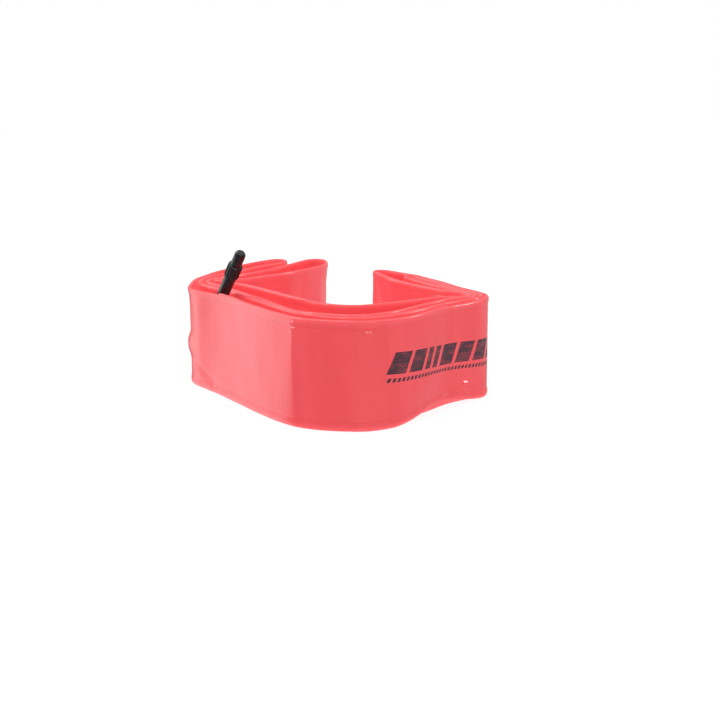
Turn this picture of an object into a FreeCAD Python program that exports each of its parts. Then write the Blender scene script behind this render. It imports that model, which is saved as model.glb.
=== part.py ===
# Bicycle inner tube, lay-flat thermoplastic film tube of the 26 inch size, standing on its edge
# and folded into four layers, with a plastic needle valve whose cap shows above the folds.
#
# Units are millimetres and +Z is up. The band rests on Z = 0 and its printed front panel
# faces -Y. The origin is the centre of the bottom of the bounding box.
#
# The tube is one endless ring of flattened tubing. Seen from above its middle line is the
# closed curve RING. It is folded to four layers: two bundles of leaves turn back at the left
# end and one bundle turns back at the right end. The ring is cut into bands at those two
# ends, because each end works as a fold line: front layers, two left leaves, one right leaf.
import FreeCAD, Part
import math
import os

V = FreeCAD.Vector

# ---------------------------------------------------------------- driving dimensions
FLAT_WIDTH = 50.0          # width of the tubing when it is pressed flat
BAND_THICKNESS = 2.0       # a flattened band over its rounded edges
FILM_WALL = 0.45           # wall of the film
FOLD_GAP = 0.6             # gap between two bands at a fold line
RIGHT_FOLD_Y = -37.42       # fold line of the right end
LEFT_FOLD_Y = 25.08         # fold line of the left end
NODE_GAP = 0.05            # usual clearance between fitted pieces

STEM_RADIUS = 3.0          # smooth plastic stem, 6 mm
STEM_SOCKET_RADIUS = 2.8   # lower end, held in the socket of the foot
STEM_THREAD_RADIUS = 2.6   # 5.2 mm threaded end under the cap
STEM_SHOULDER = 51.0       # end of the smooth stem, measured along the valve axis
STEM_TOP = 57.0
STEM_BORE = 1.6
COLLAR_TOP = 5.4           # top of the foot's collar, along the valve axis
CORE_POCKET_RADIUS = 2.0
CORE_BOTTOM = 43.0
CORE_HEAD_RADIUS = 2.35
CORE_HEAD_TOP = 58.2
CORE_FLATS = 4.2           # across the two spanner flats
PIN_RADIUS = 0.7
PIN_TOP = 65.6
PIN_RUNNING = 0.05         # radial clearance on the pin
PIN_TRAVEL = 1.6
NUT_RADIUS = 1.9
NUT_HEIGHT = 2.6
NUT_LIFT = 3.4             # how far the lock nut is backed off above the core
CAP_BOTTOM = 51.2
CAP_LENGTH = 17.0
CAP_SKIRT_LENGTH = 8.2
CAP_SKIRT_RADIUS = 3.4
CAP_RIB_RADIUS = 0.35
CAP_RIBS = 16
CAP_TOP_RADIUS = 2.8
VALVE_X = -68.98           # valve axis at the middle of the foot, seen from above
VALVE_Y = -6.42
VALVE_HEIGHT = 21.0        # height of the valve foot above the lower edge
VALVE_LEAN = 48.0          # elevation of the valve axis
VALVE_TURN = -58.0         # direction of the lean seen from above
PAD_LENGTH = 21.0          # oval pad of the foot, inside the tubing
PAD_WIDTH = 15.0
PATCH_LENGTH = 26.0        # oval patch on the outside of the film
PATCH_WIDTH = 18.0

# Middle line of the folded ring seen from above, as a closed run of points. It starts at the
# front of the printed panel and runs to the right.
RING = [
    (10.94, -122.00), (16.89, -121.16), (22.40, -119.07), (27.39, -115.90), (32.08, -111.61), (36.60, -106.15),
    (41.67, -98.71), (46.28, -90.98), (50.61, -83.10), (55.25, -75.39), (60.70, -68.23), (66.40, -61.27),
    (71.55, -53.89), (74.51, -47.59), (76.07, -41.34), (76.21, -35.80), (75.32, -30.94), (73.55, -26.31),
    (70.83, -20.38), (67.03, -12.22), (63.55, -3.92), (60.26, 4.46), (56.98, 12.84), (53.41, 21.10),
    (49.67, 29.29), (47.11, 35.99), (45.28, 41.56), (43.15, 45.52), (40.64, 49.26), (35.27, 56.47),
    (32.83, 59.45), (31.02, 61.65), (28.91, 64.01), (26.83, 65.68), (24.81, 66.43), (22.70, 66.14),
    (21.11, 64.71), (20.44, 62.68), (20.49, 60.54), (21.05, 58.18), (22.07, 55.19), (23.85, 50.20),
    (26.48, 41.59), (29.08, 32.97), (32.12, 24.50), (35.63, 16.21), (39.63, 8.16), (43.89, 0.23),
    (48.37, -7.58), (53.12, -15.22), (58.55, -22.39), (61.95, -26.09), (65.24, -29.85), (66.89, -32.66),
    (67.67, -35.14), (67.61, -37.53), (66.38, -39.58), (64.39, -40.92), (62.05, -41.74), (59.17, -42.42),
    (54.59, -43.69), (48.87, -46.38), (43.72, -50.06), (38.28, -54.77), (31.51, -60.70), (24.54, -66.39),
    (19.54, -69.91), (14.61, -72.44), (10.46, -73.40), (6.33, -73.09), (2.46, -71.63), (-1.20, -69.22),
    (-5.00, -65.75), (-9.34, -60.57), (-13.95, -53.64), (-18.45, -45.84), (-22.78, -37.95), (-27.02, -30.01),
    (-31.31, -22.10), (-35.82, -14.31), (-40.70, -6.75), (-45.92, 0.58), (-51.59, 7.57), (-57.62, 14.25),
    (-59.68, 16.36), (-61.76, 18.44), (-63.68, 20.66), (-64.72, 22.69), (-64.86, 24.81), (-63.84, 26.65),
    (-61.96, 27.61), (-59.85, 27.73), (-57.74, 27.51), (-55.00, 27.41), (-51.52, 28.29), (-48.51, 30.24),
    (-45.86, 32.83), (-42.68, 36.46), (-36.70, 43.18), (-30.72, 49.91), (-25.37, 57.14), (-20.83, 64.91),
    (-16.81, 72.96), (-13.02, 81.12), (-9.52, 89.42), (-7.15, 97.41), (-6.39, 104.53), (-6.70, 110.46),
    (-7.45, 114.32), (-8.68, 117.37), (-10.27, 119.36), (-12.34, 120.46), (-14.68, 120.39), (-16.70, 119.20),
    (-18.20, 117.36), (-19.41, 115.06), (-20.68, 111.93), (-22.83, 106.53), (-26.44, 98.29), (-30.14, 90.09),
    (-33.80, 81.86), (-37.43, 73.62), (-41.15, 65.43), (-45.15, 57.37), (-49.63, 49.57), (-54.69, 42.13),
    (-60.46, 35.23), (-64.07, 31.20), (-67.09, 26.84), (-68.45, 22.92), (-68.70, 18.78), (-67.82, 14.36),
    (-65.98, 9.99), (-63.10, 5.04), (-58.60, -2.32), (-54.41, -10.29), (-50.52, -18.41), (-46.69, -26.55),
    (-42.79, -34.66), (-38.79, -42.72), (-34.80, -50.79), (-30.96, -58.93), (-27.29, -67.15), (-23.59, -75.35),
    (-19.67, -83.45), (-15.67, -89.90), (-11.35, -94.49), (-6.35, -98.40), (-0.05, -102.00), (5.48, -103.83),
    (10.62, -104.29), (15.49, -103.46), (19.98, -101.41), (23.97, -98.36), (27.74, -94.30), (31.84, -88.74),
    (36.64, -81.13), (41.15, -73.35), (45.64, -65.55), (50.63, -58.06), (55.97, -51.90), (61.43, -47.54),
    (64.97, -45.19), (68.10, -42.66), (69.92, -40.02), (70.59, -36.90), (70.22, -33.72), (69.20, -30.53),
    (67.48, -26.50), (63.90, -18.96), (59.81, -10.94), (55.39, -3.10), (51.12, 4.82), (47.21, 12.92),
    (43.77, 21.24), (40.73, 29.71), (39.79, 32.18), (39.00, 34.12), (38.05, 36.46), (37.30, 38.79),
    (37.09, 40.72), (37.49, 42.27), (38.65, 43.41), (40.25, 43.49), (41.58, 42.59), (42.44, 41.23),
    (43.10, 39.56), (43.72, 37.61), (44.73, 34.39), (48.00, 26.00), (51.74, 17.82), (55.22, 9.52),
    (58.47, 1.13), (61.78, -7.24), (65.33, -15.51), (69.17, -23.65), (71.68, -29.34), (73.21, -34.23),
    (73.49, -38.99), (72.67, -43.40), (70.69, -47.43), (67.85, -51.05), (63.91, -54.98), (57.83, -61.01),
    (52.85, -67.47), (48.43, -74.70), (43.74, -82.38), (38.66, -89.81), (33.06, -96.86), (26.85, -102.99),
    (21.01, -107.10), (15.62, -109.44), (10.40, -110.39), (5.13, -110.03), (0.07, -108.48), (-4.89, -105.86),
    (-10.16, -101.99), (-14.76, -97.39), (-18.29, -92.17), (-21.57, -86.05), (-25.51, -77.96), (-29.24, -69.77),
    (-32.89, -61.54), (-36.72, -53.40), (-40.70, -45.33), (-44.70, -37.26), (-48.70, -29.20), (-52.98, -21.28),
    (-57.88, -13.74), (-63.07, -6.39), (-67.67, 1.34), (-70.94, 8.76), (-72.63, 15.12), (-72.82, 20.58),
    (-72.05, 26.01), (-70.02, 33.45), (-66.91, 41.89), (-63.25, 50.11), (-59.21, 58.16), (-55.11, 66.17),
    (-51.01, 74.18), (-46.88, 82.17), (-42.45, 90.01), (-37.47, 97.51), (-33.60, 103.93), (-31.68, 109.52),
    (-31.02, 113.19), (-30.90, 116.39), (-31.37, 118.90), (-32.50, 120.79), (-34.39, 121.89), (-36.59, 121.82),
    (-38.53, 120.79), (-40.17, 119.17), (-41.73, 116.98), (-43.62, 113.82), (-47.03, 107.82), (-51.29, 99.89),
    (-55.13, 91.75), (-58.76, 83.51), (-62.19, 75.20), (-65.25, 66.73), (-67.92, 58.14), (-70.15, 49.42),
    (-72.12, 40.64), (-73.87, 31.81), (-75.45, 22.95), (-75.95, 15.87), (-76.29, 6.88), (-75.82, -1.47),
    (-74.27, -7.71), (-71.60, -13.57), (-67.76, -19.61), (-62.54, -26.78), (-57.50, -34.24), (-53.01, -42.04),
    (-48.85, -50.02), (-44.96, -58.13), (-41.10, -66.27), (-37.12, -74.33), (-33.04, -82.36), (-28.89, -90.35),
    (-24.48, -98.19), (-19.64, -105.77), (-14.91, -111.63), (-9.98, -115.72), (-4.36, -118.79), (2.12, -121.01),
]


# ---------------------------------------------------------------- the ring as a curve
class RingCurve:
    """The closed middle line, read by its running length."""

    STEPS = 8

    def __init__(self, points):
        curve = Part.BSplineCurve()
        curve.interpolate(Points=[V(x, y, 0) for x, y in points], PeriodicFlag=True)
        self.curve = curve
        u0, u1 = curve.FirstParameter, curve.LastParameter
        n = len(points) * self.STEPS
        self.u = [u0 + (u1 - u0) * i / n for i in range(n + 1)]
        self.p = [curve.value(u) for u in self.u]
        self.s = [0.0]
        for a, b in zip(self.p[:-1], self.p[1:]):
            self.s.append(self.s[-1] + (b - a).Length)
        self.length = self.s[-1]

    def parameter(self, s):
        s = s % self.length
        lo, hi = 0, len(self.s) - 1
        while hi - lo > 1:
            mid = (lo + hi) // 2
            if self.s[mid] <= s:
                lo = mid
            else:
                hi = mid
        f = (s - self.s[lo]) / (self.s[hi] - self.s[lo])
        return self.u[lo] + f * (self.u[hi] - self.u[lo])

    def at(self, s, offset=0.0):
        """Point at running length s, moved sideways; positive is to the left of the run."""
        u = self.parameter(s)
        t = self.curve.tangent(u)[0]
        t.normalize()
        return self.curve.value(u) + V(-t.y, t.x, 0) * offset

    def normal(self, s):
        u = self.parameter(s)
        t = self.curve.tangent(u)[0]
        t.normalize()
        return V(-t.y, t.x, 0)

    def crossings(self, y, x_low, x_high):
        """Running lengths at which the ring crosses the line Y = y between two X values."""
        found = []
        for i in range(len(self.s) - 1):
            a, b = self.p[i], self.p[i + 1]
            if (a.y - y) * (b.y - y) < 0 and x_low < a.x < x_high:
                f = (y - a.y) / (b.y - a.y)
                found.append(self.s[i] + f * (self.s[i + 1] - self.s[i]))
        return found

    def stations(self, s0, s1):
        """Running lengths between s0 and s1, close together where the ring bends."""
        half = self.STEPS // 2
        inner = []
        for turn in (-1, 0, 1):
            for i in range(0, len(self.s) - 1, half):
                s = self.s[i] + turn * self.length
                if s0 + 0.45 < s < s1 - 0.45:
                    inner.append(s)
        return [s0] + sorted(inner) + [s1]


def band(ring, s0, s1, low, high, z0, z1):
    """A strip that follows the ring from s0 to s1, between two sideways offsets."""
    st = ring.stations(s0, s1)
    sides = []
    for offset in (low, high):
        c = Part.BSplineCurve()
        c.interpolate([ring.at(s, offset) + V(0, 0, z0) for s in st])
        sides.append(c.toShape())
    a0, a1 = ring.at(s0, low) + V(0, 0, z0), ring.at(s1, low) + V(0, 0, z0)
    b0, b1 = ring.at(s0, high) + V(0, 0, z0), ring.at(s1, high) + V(0, 0, z0)
    wire = Part.Wire([sides[0], Part.makeLine(a1, b1), sides[1], Part.makeLine(b0, a0)])
    solid = Part.Face(wire).extrude(V(0, 0, z1 - z0))
    if solid.Volume < 0:
        solid.reverse()
    return solid


def tubing(ring, s0, s1):
    """Flattened tubing: a thin band with an air space, open at its two ends."""
    t = BAND_THICKNESS / 2
    outer = band(ring, s0, s1, -t, t, 0, FLAT_WIDTH)
    t -= FILM_WALL
    cavity = band(ring, s0 - 0.25, s1 + 0.25, -t, t, FILM_WALL, FLAT_WIDTH - FILM_WALL)
    return outer.cut(cavity)


def along(shape, place):
    """A shape modelled along +Z, put on the valve axis."""
    moved = shape.copy()
    moved.Placement = place
    return moved


def turned(profile):
    """A solid of revolution about +Z from (radius, height) corners."""
    pts = [V(r, 0, z) for r, z in profile]
    face = Part.Face(Part.makePolygon(pts + [pts[0]]))
    return face.revolve(V(0, 0, 0), V(0, 0, 1), 360)


def rod(radius, z0, z1):
    return Part.makeCylinder(radius, z1 - z0, V(0, 0, z0))


def save(name, shape):
    shape = shape.removeSplitter() if len(shape.Solids) == 1 else shape
    solids = [s for s in shape.Solids]
    out = solids[0] if len(solids) == 1 else Part.makeCompound(solids)
    assert out.isValid(), name
    out.exportStep("parts/%s.step" % name)
    print(name, len(solids), "solid", round(out.Volume, 2), "mm3")
    return out


os.makedirs("parts", exist_ok=True)
ring = RingCurve(RING)
print("ring length", round(ring.length, 2))

# ---------------------------------------------------------------- film bands
g1, g4, g3, g2 = ring.crossings(RIGHT_FOLD_Y, 60, 85)
g4, g3, g2 = sorted([g4, g3, g2])
f4, f3, f2, f1 = ring.crossings(LEFT_FOLD_Y, -85, -60)
gap = FOLD_GAP / 2
L = ring.length

bands = {
    "tube_front_panel": (f1 + gap - L, g1 - gap),
    "tube_right_outer_fold": (g1 + gap, g4 - gap),
    "tube_inner_panel": (g4 + gap, f4 - gap),
    "tube_left_front_fold": (f4 + gap, f3 - gap),
    "tube_third_panel": (f3 + gap, g3 - gap),
    "tube_right_inner_fold": (g3 + gap, g2 - gap),
    "tube_second_panel": (g2 + gap, f2 - gap),
    "tube_left_back_fold": (f2 + gap, f1 - gap),
}
film = {name: tubing(ring, a, b) for name, (a, b) in bands.items()}

# ---------------------------------------------------------------- valve placement
valve_origin = V(VALVE_X, VALVE_Y, VALVE_HEIGHT)
lean, turn = math.radians(VALVE_LEAN), math.radians(VALVE_TURN)
valve_axis = V(math.cos(lean) * math.cos(turn), math.cos(lean) * math.sin(turn), math.sin(lean))
on_axis = FreeCAD.Placement(valve_origin, FreeCAD.Rotation(V(0, 0, 1), valve_axis))

# the place on the front panel that faces the valve foot
a, b = bands["tube_front_panel"]
best = min((a + 40.0 * i / 800 for i in range(801)),
           key=lambda s: (ring.at(s) - V(VALVE_X, VALVE_Y, 0)).Length)
root = ring.at(best) + V(0, 0, VALVE_HEIGHT)
inward = valve_origin - root
foot_height = inward.Length
inward.normalize()
side = V(-inward.y, inward.x, 0)
up = V(0, 0, 1)
print("valve foot is", round(foot_height, 2), "mm from the middle line, at", round(best - a, 1))


def neck(radius, d0, d1):
    return Part.makeCylinder(radius, d1 - d0, root + inward * d0, inward)


def oval(length, width, offset0, offset1):
    """An oval sheet that follows the film, at a sideways distance from its middle."""
    sheet = band(ring, best - length, best + length, offset0, offset1,
                 VALVE_HEIGHT - width, VALVE_HEIGHT + width)
    centre = root - inward * 8
    ellipse = Part.Ellipse(centre + side * (length / 2), centre + up * (width / 2), centre)
    prism = Part.Face(Part.Wire([ellipse.toShape()])).extrude(inward * 16)
    return sheet.common(prism)


sign = 1 if (ring.at(best, 1.0) - ring.at(best)).dot(inward) > 0 else -1


def layer(lo, hi):
    return (lo, hi) if sign > 0 else (-hi, -lo)


# the hole in the film for the neck of the foot
film["tube_front_panel"] = film["tube_front_panel"].cut(neck(2.5, 0.2, 2.0))

half = BAND_THICKNESS / 2
patch = oval(PATCH_LENGTH, PATCH_WIDTH, *layer(half + 0.05, half + 0.30)).cut(neck(2.6, 0, 3))

pad = oval(PAD_LENGTH, PAD_WIDTH, *layer(-0.40, 0.40))
boss = Part.makeSphere(3.8).fuse(rod(3.6, 0, COLLAR_TOP))
foot = pad.fuse(neck(2.4, 0.0, foot_height)).fuse(along(boss, on_axis))
foot = foot.cut(along(rod(STEM_SOCKET_RADIUS + 0.02, 1.0, 9.0), on_axis))
foot = foot.cut(along(rod(1.2, 0.0, 2.0), on_axis)).cut(neck(1.2, -1.0, foot_height))

# ---------------------------------------------------------------- valve stem and core
stem = turned([
    (STEM_BORE, 1.05), (STEM_SOCKET_RADIUS, 1.05), (STEM_SOCKET_RADIUS, COLLAR_TOP + NODE_GAP),
    (STEM_RADIUS, COLLAR_TOP + NODE_GAP), (STEM_RADIUS, STEM_SHOULDER),
    (STEM_THREAD_RADIUS, STEM_SHOULDER), (STEM_THREAD_RADIUS, STEM_TOP - 0.3),
    (STEM_THREAD_RADIUS - 0.3, STEM_TOP), (CORE_POCKET_RADIUS, STEM_TOP),
    (CORE_POCKET_RADIUS, CORE_BOTTOM - 0.05), (STEM_BORE, CORE_BOTTOM - 0.05),
])

core_r = CORE_POCKET_RADIUS - 0.02
pin_bore = PIN_RADIUS + PIN_RUNNING
core = turned([
    (pin_bore, CORE_BOTTOM), (core_r, CORE_BOTTOM), (core_r, CORE_BOTTOM + 1.6),
    (1.55, CORE_BOTTOM + 1.6), (1.55, CORE_BOTTOM + 3.2), (core_r, CORE_BOTTOM + 3.2),
    (core_r, STEM_TOP + 0.05), (CORE_HEAD_RADIUS, STEM_TOP + 0.05),
    (CORE_HEAD_RADIUS, CORE_HEAD_TOP), (pin_bore, CORE_HEAD_TOP),
])
for s in (1, -1):
    y0 = CORE_FLATS / 2 if s > 0 else -CORE_FLATS / 2 - 2
    core = core.cut(Part.makeBox(8, 2, 4, V(-4, y0, STEM_TOP + 0.3)))

gasket = turned([
    (1.6, CORE_BOTTOM + 1.65), (core_r - 0.02, CORE_BOTTOM + 1.65),
    (core_r - 0.02, CORE_BOTTOM + 3.15), (1.6, CORE_BOTTOM + 3.15),
])

pin = turned([
    (0, 40.2), (1.35, 40.2), (1.35, 41.2), (PIN_RADIUS, 41.2),
    (PIN_RADIUS, PIN_TOP - 0.7), (1.0, PIN_TOP - 0.5), (1.0, PIN_TOP - 0.15),
    (0.85, PIN_TOP), (0, PIN_TOP),
])
pin_seal = turned([(PIN_RADIUS + 0.02, 41.25), (1.45, 41.25), (1.45, 42.9), (PIN_RADIUS + 0.02, 42.9)])

nut_low = CORE_HEAD_TOP + NUT_LIFT
nut_top = nut_low + NUT_HEIGHT
nut = turned([
    (pin_bore, nut_low), (1.45, nut_low), (NUT_RADIUS, nut_low + 0.45),
    (NUT_RADIUS, nut_top - 0.3), (NUT_RADIUS - 0.3, nut_top), (pin_bore, nut_top),
])
for i in range(12):
    w = math.radians(30 * i)
    nut = nut.cut(Part.makeCylinder(0.22, NUT_HEIGHT, V((NUT_RADIUS + 0.08) * math.cos(w), (NUT_RADIUS + 0.08) * math.sin(w), nut_low)))

# ---------------------------------------------------------------- valve cap
cap_top = CAP_BOTTOM + CAP_LENGTH
skirt_top = CAP_BOTTOM + CAP_SKIRT_LENGTH
dome = 2.3
arc = []
for i in range(1, 8):
    w = math.pi / 2 * i / 8
    arc.append((CAP_TOP_RADIUS - 0.9 * (1 - math.cos(w)) * 1.6, cap_top - dome + dome * math.sin(w)))
cap = turned([
    (0, cap_top - 1.8), (2.2, cap_top - 1.8), (2.2, skirt_top - 0.5),
    (STEM_THREAD_RADIUS + 0.08, skirt_top - 0.5), (STEM_THREAD_RADIUS + 0.08, CAP_BOTTOM),
    (CAP_SKIRT_RADIUS - 0.2, CAP_BOTTOM), (CAP_SKIRT_RADIUS, CAP_BOTTOM + 0.2),
    (CAP_SKIRT_RADIUS, skirt_top - 0.3), (CAP_TOP_RADIUS, skirt_top),
    (CAP_TOP_RADIUS, cap_top - dome)] + arc + [(0.8, cap_top), (0, cap_top)])
for i in range(CAP_RIBS):
    w = 2 * math.pi * i / CAP_RIBS
    rib = Part.makeCylinder(CAP_RIB_RADIUS, CAP_SKIRT_LENGTH - 0.9,
                            V(CAP_SKIRT_RADIUS * math.cos(w), CAP_SKIRT_RADIUS * math.sin(w), CAP_BOTTOM + 0.3))
    bore = rod(STEM_THREAD_RADIUS + 0.5, CAP_BOTTOM, skirt_top)
    cap = cap.fuse(rib.cut(bore))

# ---------------------------------------------------------------- write the nodes
pieces = dict(film)
pieces["valve_patch"] = patch
pieces["valve_foot"] = foot
for name, shape in (("valve_stem", stem), ("core_body", core), ("core_gasket", gasket),
                    ("core_pin", pin), ("pin_seal", pin_seal), ("lock_nut", nut),
                    ("valve_cap", cap)):
    pieces[name] = along(shape, on_axis)

everything = Part.makeCompound([save(n, s) for n, s in pieces.items()])
box = everything.optimalBoundingBox() if hasattr(everything, "optimalBoundingBox") else everything.BoundBox
print("box", [round(v, 3) for v in (box.XMin, box.YMin, box.ZMin, box.XMax, box.YMax, box.ZMax)])
print("valve axis", [round(v, 5) for v in valve_axis], "origin", [round(v, 3) for v in valve_origin])
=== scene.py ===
import math

import bpy
import numpy as np
from mathutils import Matrix, Vector


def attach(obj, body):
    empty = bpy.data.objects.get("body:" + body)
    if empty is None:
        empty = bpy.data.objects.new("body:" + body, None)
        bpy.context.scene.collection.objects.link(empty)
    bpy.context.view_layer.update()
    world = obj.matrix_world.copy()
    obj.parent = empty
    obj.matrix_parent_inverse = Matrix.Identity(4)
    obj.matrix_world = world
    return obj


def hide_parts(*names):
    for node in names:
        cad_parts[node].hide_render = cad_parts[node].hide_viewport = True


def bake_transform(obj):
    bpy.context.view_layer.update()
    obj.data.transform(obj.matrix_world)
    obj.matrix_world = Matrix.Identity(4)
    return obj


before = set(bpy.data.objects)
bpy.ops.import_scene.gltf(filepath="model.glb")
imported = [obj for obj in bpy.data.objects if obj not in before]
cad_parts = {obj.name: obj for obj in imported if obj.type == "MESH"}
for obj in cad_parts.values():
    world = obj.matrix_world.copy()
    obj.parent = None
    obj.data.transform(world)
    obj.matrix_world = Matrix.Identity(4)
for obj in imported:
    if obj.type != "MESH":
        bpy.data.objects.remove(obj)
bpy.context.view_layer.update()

MM = 0.001
rng = np.random.default_rng(146)

# ---------------------------------------------------------------- dimensions of the tubing (mm)
W = 50.0            # flat width
BEAD = 0.95         # half thickness of the rounded edges
WEB = 0.60          # half thickness of the pressed film between them
RISE = 1.7          # height over which a rounded edge reaches its full thickness
FLAT = 2.3          # how square its shoulders are (2 is an ellipse)
RIGHT_FOLD_Y = -37.42
LEFT_FOLD_Y = 25.08
VALVE = np.array([-68.98, -6.42, 21.0])
LEAN, TURN = math.radians(48.0), math.radians(-58.0)
AXIS = np.array([math.cos(LEAN) * math.cos(TURN), math.cos(LEAN) * math.sin(TURN), math.sin(LEAN)])

# middle line of the folded ring seen from above (the same run of points as the CAD)
RING = np.array([
    (10.94, -122.00), (16.89, -121.16), (22.40, -119.07), (27.39, -115.90), (32.08, -111.61), (36.60, -106.15),
    (41.67, -98.71), (46.28, -90.98), (50.61, -83.10), (55.25, -75.39), (60.70, -68.23), (66.40, -61.27),
    (71.55, -53.89), (74.51, -47.59), (76.07, -41.34), (76.21, -35.80), (75.32, -30.94), (73.55, -26.31),
    (70.83, -20.38), (67.03, -12.22), (63.55, -3.92), (60.26, 4.46), (56.98, 12.84), (53.41, 21.10),
    (49.67, 29.29), (47.11, 35.99), (45.28, 41.56), (43.15, 45.52), (40.64, 49.26), (35.27, 56.47),
    (32.83, 59.45), (31.02, 61.65), (28.91, 64.01), (26.83, 65.68), (24.81, 66.43), (22.70, 66.14),
    (21.11, 64.71), (20.44, 62.68), (20.49, 60.54), (21.05, 58.18), (22.07, 55.19), (23.85, 50.20),
    (26.48, 41.59), (29.08, 32.97), (32.12, 24.50), (35.63, 16.21), (39.63, 8.16), (43.89, 0.23),
    (48.37, -7.58), (53.12, -15.22), (58.55, -22.39), (61.95, -26.09), (65.24, -29.85), (66.89, -32.66),
    (67.67, -35.14), (67.61, -37.53), (66.38, -39.58), (64.39, -40.92), (62.05, -41.74), (59.17, -42.42),
    (54.59, -43.69), (48.87, -46.38), (43.72, -50.06), (38.28, -54.77), (31.51, -60.70), (24.54, -66.39),
    (19.54, -69.91), (14.61, -72.44), (10.46, -73.40), (6.33, -73.09), (2.46, -71.63), (-1.20, -69.22),
    (-5.00, -65.75), (-9.34, -60.57), (-13.95, -53.64), (-18.45, -45.84), (-22.78, -37.95), (-27.02, -30.01),
    (-31.31, -22.10), (-35.82, -14.31), (-40.70, -6.75), (-45.92, 0.58), (-51.59, 7.57), (-57.62, 14.25),
    (-59.68, 16.36), (-61.76, 18.44), (-63.68, 20.66), (-64.72, 22.69), (-64.86, 24.81), (-63.84, 26.65),
    (-61.96, 27.61), (-59.85, 27.73), (-57.74, 27.51), (-55.00, 27.41), (-51.52, 28.29), (-48.51, 30.24),
    (-45.86, 32.83), (-42.68, 36.46), (-36.70, 43.18), (-30.72, 49.91), (-25.37, 57.14), (-20.83, 64.91),
    (-16.81, 72.96), (-13.02, 81.12), (-9.52, 89.42), (-7.15, 97.41), (-6.39, 104.53), (-6.70, 110.46),
    (-7.45, 114.32), (-8.68, 117.37), (-10.27, 119.36), (-12.34, 120.46), (-14.68, 120.39), (-16.70, 119.20),
    (-18.20, 117.36), (-19.41, 115.06), (-20.68, 111.93), (-22.83, 106.53), (-26.44, 98.29), (-30.14, 90.09),
    (-33.80, 81.86), (-37.43, 73.62), (-41.15, 65.43), (-45.15, 57.37), (-49.63, 49.57), (-54.69, 42.13),
    (-60.46, 35.23), (-64.07, 31.20), (-67.09, 26.84), (-68.45, 22.92), (-68.70, 18.78), (-67.82, 14.36),
    (-65.98, 9.99), (-63.10, 5.04), (-58.60, -2.32), (-54.41, -10.29), (-50.52, -18.41), (-46.69, -26.55),
    (-42.79, -34.66), (-38.79, -42.72), (-34.80, -50.79), (-30.96, -58.93), (-27.29, -67.15), (-23.59, -75.35),
    (-19.67, -83.45), (-15.67, -89.90), (-11.35, -94.49), (-6.35, -98.40), (-0.05, -102.00), (5.48, -103.83),
    (10.62, -104.29), (15.49, -103.46), (19.98, -101.41), (23.97, -98.36), (27.74, -94.30), (31.84, -88.74),
    (36.64, -81.13), (41.15, -73.35), (45.64, -65.55), (50.63, -58.06), (55.97, -51.90), (61.43, -47.54),
    (64.97, -45.19), (68.10, -42.66), (69.92, -40.02), (70.59, -36.90), (70.22, -33.72), (69.20, -30.53),
    (67.48, -26.50), (63.90, -18.96), (59.81, -10.94), (55.39, -3.10), (51.12, 4.82), (47.21, 12.92),
    (43.77, 21.24), (40.73, 29.71), (39.79, 32.18), (39.00, 34.12), (38.05, 36.46), (37.30, 38.79),
    (37.09, 40.72), (37.49, 42.27), (38.65, 43.41), (40.25, 43.49), (41.58, 42.59), (42.44, 41.23),
    (43.10, 39.56), (43.72, 37.61), (44.73, 34.39), (48.00, 26.00), (51.74, 17.82), (55.22, 9.52),
    (58.47, 1.13), (61.78, -7.24), (65.33, -15.51), (69.17, -23.65), (71.68, -29.34), (73.21, -34.23),
    (73.49, -38.99), (72.67, -43.40), (70.69, -47.43), (67.85, -51.05), (63.91, -54.98), (57.83, -61.01),
    (52.85, -67.47), (48.43, -74.70), (43.74, -82.38), (38.66, -89.81), (33.06, -96.86), (26.85, -102.99),
    (21.01, -107.10), (15.62, -109.44), (10.40, -110.39), (5.13, -110.03), (0.07, -108.48), (-4.89, -105.86),
    (-10.16, -101.99), (-14.76, -97.39), (-18.29, -92.17), (-21.57, -86.05), (-25.51, -77.96), (-29.24, -69.77),
    (-32.89, -61.54), (-36.72, -53.40), (-40.70, -45.33), (-44.70, -37.26), (-48.70, -29.20), (-52.98, -21.28),
    (-57.88, -13.74), (-63.07, -6.39), (-67.67, 1.34), (-70.94, 8.76), (-72.63, 15.12), (-72.82, 20.58),
    (-72.05, 26.01), (-70.02, 33.45), (-66.91, 41.89), (-63.25, 50.11), (-59.21, 58.16), (-55.11, 66.17),
    (-51.01, 74.18), (-46.88, 82.17), (-42.45, 90.01), (-37.47, 97.51), (-33.60, 103.93), (-31.68, 109.52),
    (-31.02, 113.19), (-30.90, 116.39), (-31.37, 118.90), (-32.50, 120.79), (-34.39, 121.89), (-36.59, 121.82),
    (-38.53, 120.79), (-40.17, 119.17), (-41.73, 116.98), (-43.62, 113.82), (-47.03, 107.82), (-51.29, 99.89),
    (-55.13, 91.75), (-58.76, 83.51), (-62.19, 75.20), (-65.25, 66.73), (-67.92, 58.14), (-70.15, 49.42),
    (-72.12, 40.64), (-73.87, 31.81), (-75.45, 22.95), (-75.95, 15.87), (-76.29, 6.88), (-75.82, -1.47),
    (-74.27, -7.71), (-71.60, -13.57), (-67.76, -19.61), (-62.54, -26.78), (-57.50, -34.24), (-53.01, -42.04),
    (-48.85, -50.02), (-44.96, -58.13), (-41.10, -66.27), (-37.12, -74.33), (-33.04, -82.36), (-28.89, -90.35),
    (-24.48, -98.19), (-19.64, -105.77), (-14.91, -111.63), (-9.98, -115.72), (-4.36, -118.79), (2.12, -121.01),
])


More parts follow.
